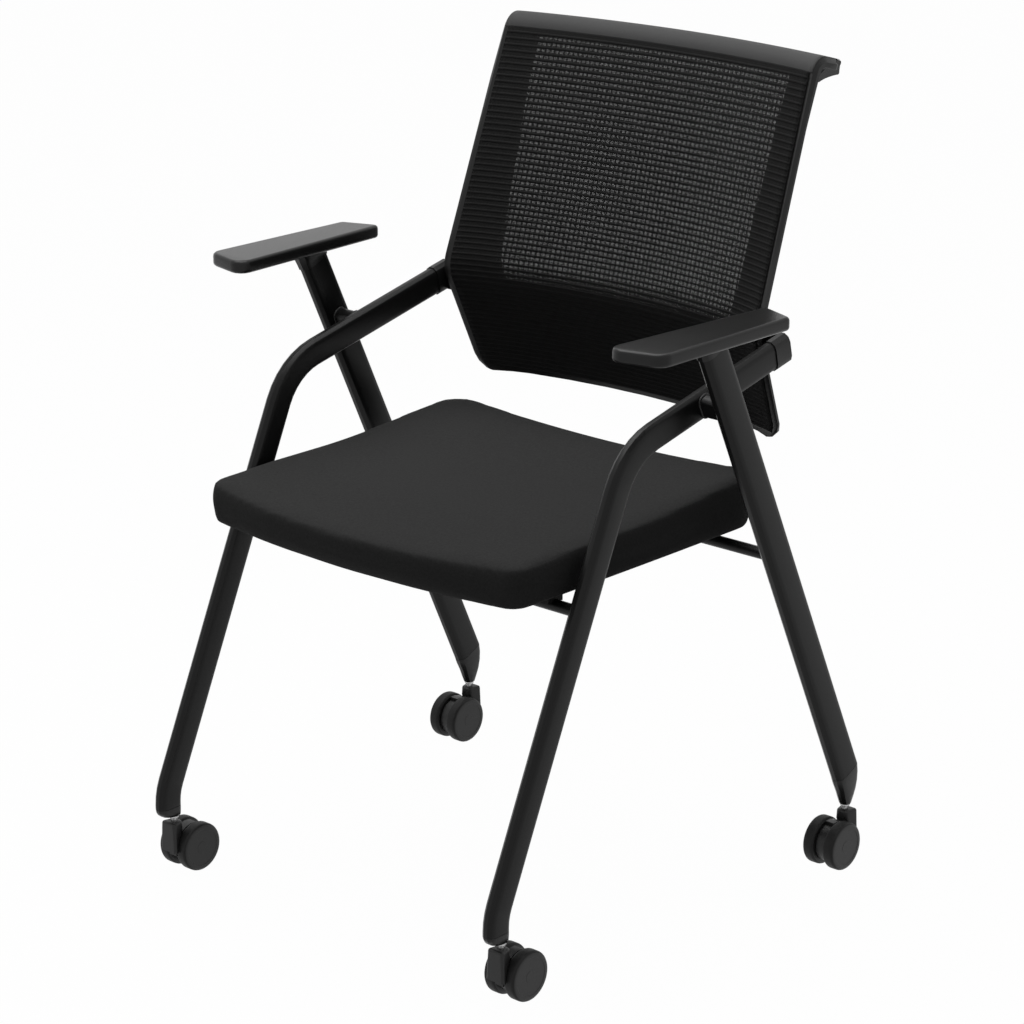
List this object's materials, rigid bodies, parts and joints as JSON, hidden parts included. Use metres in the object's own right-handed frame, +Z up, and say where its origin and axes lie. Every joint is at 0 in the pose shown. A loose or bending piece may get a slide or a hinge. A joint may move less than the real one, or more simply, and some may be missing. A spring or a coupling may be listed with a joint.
{
  "type": "nesting chair",
  "caption": "Nesting armchair: curved net back, flip-up padded seat and armrests on a bent oval-tube frame that rolls on twin-wheel castors.",
  "frame": {"origin": "on the floor under the middle of the chair's bounding box", "axes": "+Z up, +Y towards the rear, +X towards the sitter's left"},
  "size_m": [0.635, 0.6016, 0.8851],
  "materials": {
    "frame_steel": "satin black powder coat on steel tube",
    "black_plastic": "fine-textured black moulding",
    "back_net": "black ribbed net",
    "seat_fabric": "dark grey woven cloth",
    "castor_plastic": "dark grey moulding",
    "rest_rubber": "black rubber",
    "zinc_steel": "zinc plated"
  },
  "bodies": {
    "frame": {"front_tube_left": "frame_steel", "front_tube_right": "frame_steel", "rear_leg_left": "frame_steel", "rear_leg_right": "frame_steel", "tube_spacer_left": "frame_steel", "tube_spacer_right": "frame_steel", "front_bar": "frame_steel", "rear_bar": "frame_steel", "front_foot_left": "black_plastic", "front_foot_right": "black_plastic", "rear_foot_left": "black_plastic", "rear_foot_right": "black_plastic", "armrest_left": "black_plastic", "armrest_right": "black_plastic", "back_frame": "black_plastic", "back_net": "back_net", "castor_stem_front_left": "zinc_steel", "castor_stem_front_right": "zinc_steel", "castor_stem_rear_left": "zinc_steel", "castor_stem_rear_right": "zinc_steel"},
    "seat": {"seat_cushion": "seat_fabric", "seat_shell": "black_plastic", "hinge_saddle_left": "frame_steel", "hinge_saddle_right": "frame_steel", "seat_rest_left": "rest_rubber", "seat_rest_right": "rest_rubber", "saddle_screw_1": "zinc_steel", "saddle_screw_2": "zinc_steel", "saddle_screw_3": "zinc_steel", "saddle_screw_4": "zinc_steel"},
    "castor_front_left": {"castor_hood_front_left": "castor_plastic", "castor_axle_front_left": "zinc_steel"},
    "wheel_front_left_outer": {"wheel_front_left_outer": "castor_plastic"},
    "wheel_front_left_inner": {"wheel_front_left_inner": "castor_plastic"},
    "castor_front_right": {"castor_hood_front_right": "castor_plastic", "castor_axle_front_right": "zinc_steel"},
    "wheel_front_right_outer": {"wheel_front_right_outer": "castor_plastic"},
    "wheel_front_right_inner": {"wheel_front_right_inner": "castor_plastic"},
    "castor_rear_left": {"castor_hood_rear_left": "castor_plastic", "castor_axle_rear_left": "zinc_steel"},
    "wheel_rear_left_outer": {"wheel_rear_left_outer": "castor_plastic"},
    "wheel_rear_left_inner": {"wheel_rear_left_inner": "castor_plastic"},
    "castor_rear_right": {"castor_hood_rear_right": "castor_plastic", "castor_axle_rear_right": "zinc_steel"},
    "wheel_rear_right_outer": {"wheel_rear_right_outer": "castor_plastic"},
    "wheel_rear_right_inner": {"wheel_rear_right_inner": "castor_plastic"}
  },
  "joints": [
    {"name": "seat_fold", "type": "hinge", "parent": "frame", "child": "seat", "pos_m": [0, 0.10651, 0.3865], "axis": [-1, 0, 0], "range_deg": [0, 80]},
    {"name": "castor_front_left_swivel", "type": "hinge", "parent": "frame", "child": "castor_front_left", "pos_m": [0.24, -0.27716, 0.06125], "axis": [0, 0, 1], "continuous": true},
    {"name": "wheel_front_left_outer_spin", "type": "hinge", "parent": "castor_front_left", "child": "wheel_front_left_outer", "pos_m": [0.2534, -0.25466, 0.027], "axis": [1, 0, 0], "continuous": true},
    {"name": "wheel_front_left_inner_spin", "type": "hinge", "parent": "castor_front_left", "child": "wheel_front_left_inner", "pos_m": [0.2266, -0.25466, 0.027], "axis": [1, 0, 0], "continuous": true},
    {"name": "castor_front_right_swivel", "type": "hinge", "parent": "frame", "child": "castor_front_right", "pos_m": [-0.24, -0.27716, 0.06125], "axis": [0, 0, 1], "continuous": true},
    {"name": "wheel_front_right_outer_spin", "type": "hinge", "parent": "castor_front_right", "child": "wheel_front_right_outer", "pos_m": [-0.2534, -0.25466, 0.027], "axis": [1, 0, 0], "continuous": true},
    {"name": "wheel_front_right_inner_spin", "type": "hinge", "parent": "castor_front_right", "child": "wheel_front_right_inner", "pos_m": [-0.2266, -0.25466, 0.027], "axis": [1, 0, 0], "continuous": true},
    {"name": "castor_rear_left_swivel", "type": "hinge", "parent": "frame", "child": "castor_rear_left", "pos_m": [0.281, 0.24384, 0.06125], "axis": [0, 0, 1], "continuous": true},
    {"name": "wheel_rear_left_outer_spin", "type": "hinge", "parent": "castor_rear_left", "child": "wheel_rear_left_outer", "pos_m": [0.2944, 0.22134, 0.027], "axis": [1, 0, 0], "continuous": true},
    {"name": "wheel_rear_left_inner_spin", "type": "hinge", "parent": "castor_rear_left", "child": "wheel_rear_left_inner", "pos_m": [0.2676, 0.22134, 0.027], "axis": [1, 0, 0], "continuous": true},
    {"name": "castor_rear_right_swivel", "type": "hinge", "parent": "frame", "child": "castor_rear_right", "pos_m": [-0.281, 0.24384, 0.06125], "axis": [0, 0, 1], "continuous": true},
    {"name": "wheel_rear_right_outer_spin", "type": "hinge", "parent": "castor_rear_right", "child": "wheel_rear_right_outer", "pos_m": [-0.2944, 0.22134, 0.027], "axis": [1, 0, 0], "continuous": true},
    {"name": "wheel_rear_right_inner_spin", "type": "hinge", "parent": "castor_rear_right", "child": "wheel_rear_right_inner", "pos_m": [-0.2676, 0.22134, 0.027], "axis": [1, 0, 0], "continuous": true}
  ]
}
